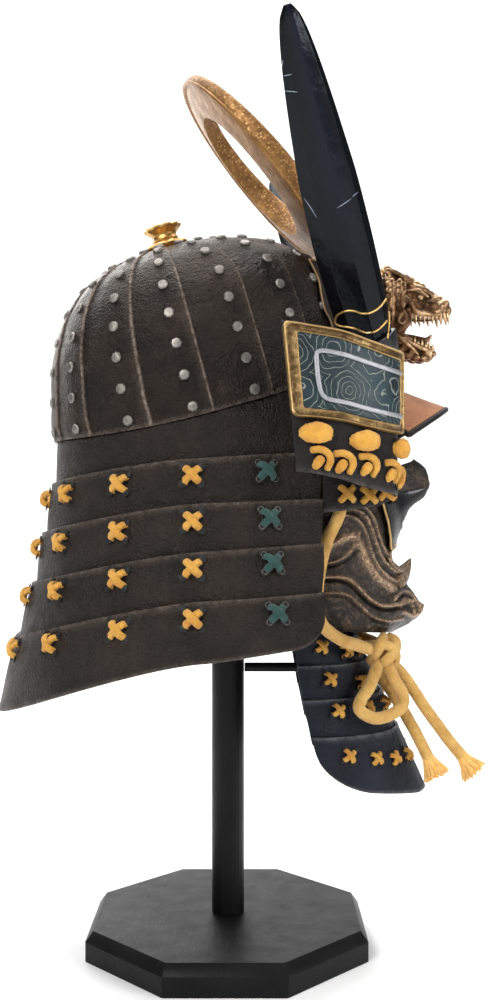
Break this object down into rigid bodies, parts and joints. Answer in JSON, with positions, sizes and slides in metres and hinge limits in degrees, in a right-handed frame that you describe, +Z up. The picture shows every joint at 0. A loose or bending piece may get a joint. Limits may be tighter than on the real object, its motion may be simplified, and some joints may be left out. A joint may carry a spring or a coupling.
{
  "type": "kabuto helmet with face mask on a display stand",
  "caption": "Riveted bowl with laced neck guard, turned-back wings, horned ring crest with a dragon head, face mask and throat guard, resting on a plain post stand.",
  "frame": {"origin": "centre of the stand base's underside", "axes": "+X forward, the way the mask faces; +Y to the wearer's left; +Z up"},
  "size_m": [0.4085, 0.4118, 0.7294],
  "materials": {
    "stand_base": "black painted wood",
    "stand_post": "black painted wood",
    "stand_arm": "black painted rod",
    "stand_head_rest": "black painted wood",
    "bowl": "worn dark iron plates",
    "crown_finial": "gilded",
    "neck_band": "dark brown hide",
    "neck_lame_1": "dark brown hide, worn edges",
    "neck_lame_2": "dark brown hide, worn edges",
    "neck_lame_3": "dark brown hide, worn edges",
    "neck_lame_4": "dark brown hide, worn edges",
    "wing_right": "black hide",
    "wing_left": "black hide",
    "wing_frame_right": "antique gold",
    "wing_frame_left": "antique gold",
    "wing_panel_right": "teal lacquer with pale lines",
    "wing_panel_left": "teal lacquer with pale lines",
    "peak": "tan hide with a black edge",
    "crest_plate": "antique gold",
    "horn_right": "blue-black lacquer",
    "horn_left": "blue-black lacquer",
    "horn_socket_right": "antique gold",
    "horn_socket_left": "antique gold",
    "crest_ring": "gold, brown in the hollows",
    "crest_tang": "gold",
    "dragon_head": "aged bronze",
    "mask": "dark brown lacquer, bronze on the high spots",
    "throat_lame_1": "blue-black hide",
    "throat_lame_2": "blue-black hide",
    "throat_lame_3": "blue-black hide",
    "throat_lame_4": "blue-black hide",
    "chin_cord_right": "yellow cotton cord",
    "chin_cord_left": "yellow cotton cord",
    "chin_cord_bow": "yellow cotton cord",
    "chin_cord_tail_1": "yellow cotton cord",
    "chin_cord_tail_2": "yellow cotton cord",
    "chin_cord_fray_1": "loosened cotton fibres",
    "chin_cord_fray_2": "loosened cotton fibres",
    "chin_cord_knot": "yellow cotton cord"
  },
  "bodies": {
    "root": {"stand_base": "stand_base", "stand_post": "stand_post", "stand_arm": "stand_arm", "stand_head_rest": "stand_head_rest", "bowl": "bowl", "crown_finial": "crown_finial", "neck_band": "neck_band", "neck_lame_1": "neck_lame_1", "neck_lame_2": "neck_lame_2", "neck_lame_3": "neck_lame_3", "neck_lame_4": "neck_lame_4", "wing_right": "wing_right", "wing_left": "wing_left", "wing_frame_right": "wing_frame_right", "wing_frame_left": "wing_frame_left", "wing_panel_right": "wing_panel_right", "wing_panel_left": "wing_panel_left", "peak": "peak", "crest_plate": "crest_plate", "horn_right": "horn_right", "horn_left": "horn_left", "horn_socket_right": "horn_socket_right", "horn_socket_left": "horn_socket_left", "crest_ring": "crest_ring", "crest_tang": "crest_tang", "dragon_head": "dragon_head", "mask": "mask", "throat_lame_1": "throat_lame_1", "throat_lame_2": "throat_lame_2", "throat_lame_3": "throat_lame_3", "throat_lame_4": "throat_lame_4", "chin_cord_right": "chin_cord_right", "chin_cord_left": "chin_cord_left", "chin_cord_bow": "chin_cord_bow", "chin_cord_tail_1": "chin_cord_tail_1", "chin_cord_tail_2": "chin_cord_tail_2", "chin_cord_fray_1": "chin_cord_fray_1", "chin_cord_fray_2": "chin_cord_fray_2", "chin_cord_knot": "chin_cord_knot"}
  },
  "joints": []
}
